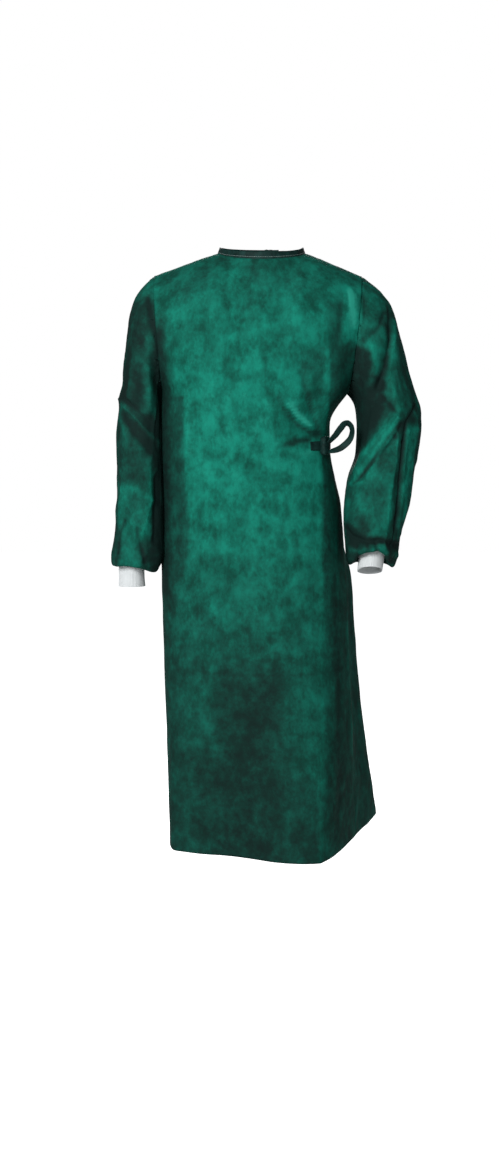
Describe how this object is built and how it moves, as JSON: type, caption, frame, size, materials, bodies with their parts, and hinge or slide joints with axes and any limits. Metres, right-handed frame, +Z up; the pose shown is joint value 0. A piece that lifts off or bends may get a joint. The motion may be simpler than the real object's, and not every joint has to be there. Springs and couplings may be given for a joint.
{
  "type": "isolation gown",
  "caption": "Long-sleeved isolation gown in its worn, hollow shape, with knit cuffs, a bound round neck, an open lapped back and a waist tape tied at the side.",
  "frame": {"origin": "middle of the neck opening, where the wearer's neck and shoulders carry the gown", "axes": "+X towards the wearer's left, +Y towards the wearer's back, +Z up"},
  "size_m": [0.6217, 0.4476, 1.2003],
  "materials": {
    "gown_cloth": "deep green polypropylene nonwoven with a cloudy fibre mottle and a soft sheen",
    "cuff_knit": "white ribbed knit",
    "tie_tape": "dark green nonwoven tape"
  },
  "bodies": {
    "root": {"front_panel": "gown_cloth", "back_right": "gown_cloth", "back_left": "gown_cloth", "sleeve_right": "gown_cloth", "sleeve_left": "gown_cloth", "cuff_right": "cuff_knit", "cuff_left": "cuff_knit", "neck_binding": "tie_tape", "neck_tie_knot": "tie_tape", "neck_tie_end_right": "tie_tape", "neck_tie_end_left": "tie_tape", "waist_tie_front": "tie_tape", "waist_tie_knot": "tie_tape", "waist_tie_loop": "tie_tape", "waist_tie_back": "tie_tape"}
  },
  "joints": []
}
